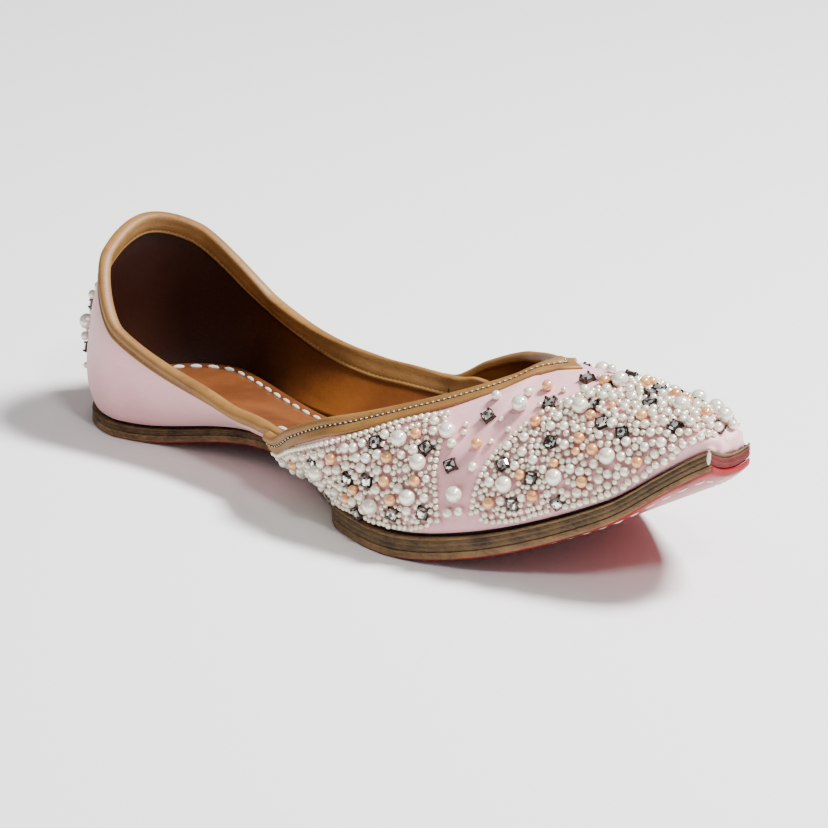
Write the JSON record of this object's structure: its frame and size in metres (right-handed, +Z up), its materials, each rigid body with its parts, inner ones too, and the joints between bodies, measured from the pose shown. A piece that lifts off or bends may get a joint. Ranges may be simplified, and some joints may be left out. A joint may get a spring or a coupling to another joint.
{
  "type": "mojari shoe",
  "caption": "Flat slip-on mojari for the left foot: low open collar, V throat, turned-up narrow toe, thin stacked leather sole.",
  "frame": {"origin": "on the floor, under the middle of the bounding box", "axes": "+X from heel to toe, +Y to the outer side of the foot, +Z up; the shoe stands on its sole"},
  "size_m": [0.2474, 0.0942, 0.0631],
  "materials": {
    "outsole": "glossy deep red underside",
    "midsole": "raw stacked edge, brown",
    "insole": "smooth brown",
    "upper": "blush satin over a brown leather lining",
    "binding": "smooth tan"
  },
  "bodies": {
    "root": {"outsole": "outsole", "midsole": "midsole", "insole": "insole", "upper": "upper", "collar_binding": "binding", "throat_binding": "binding"}
  },
  "joints": []
}
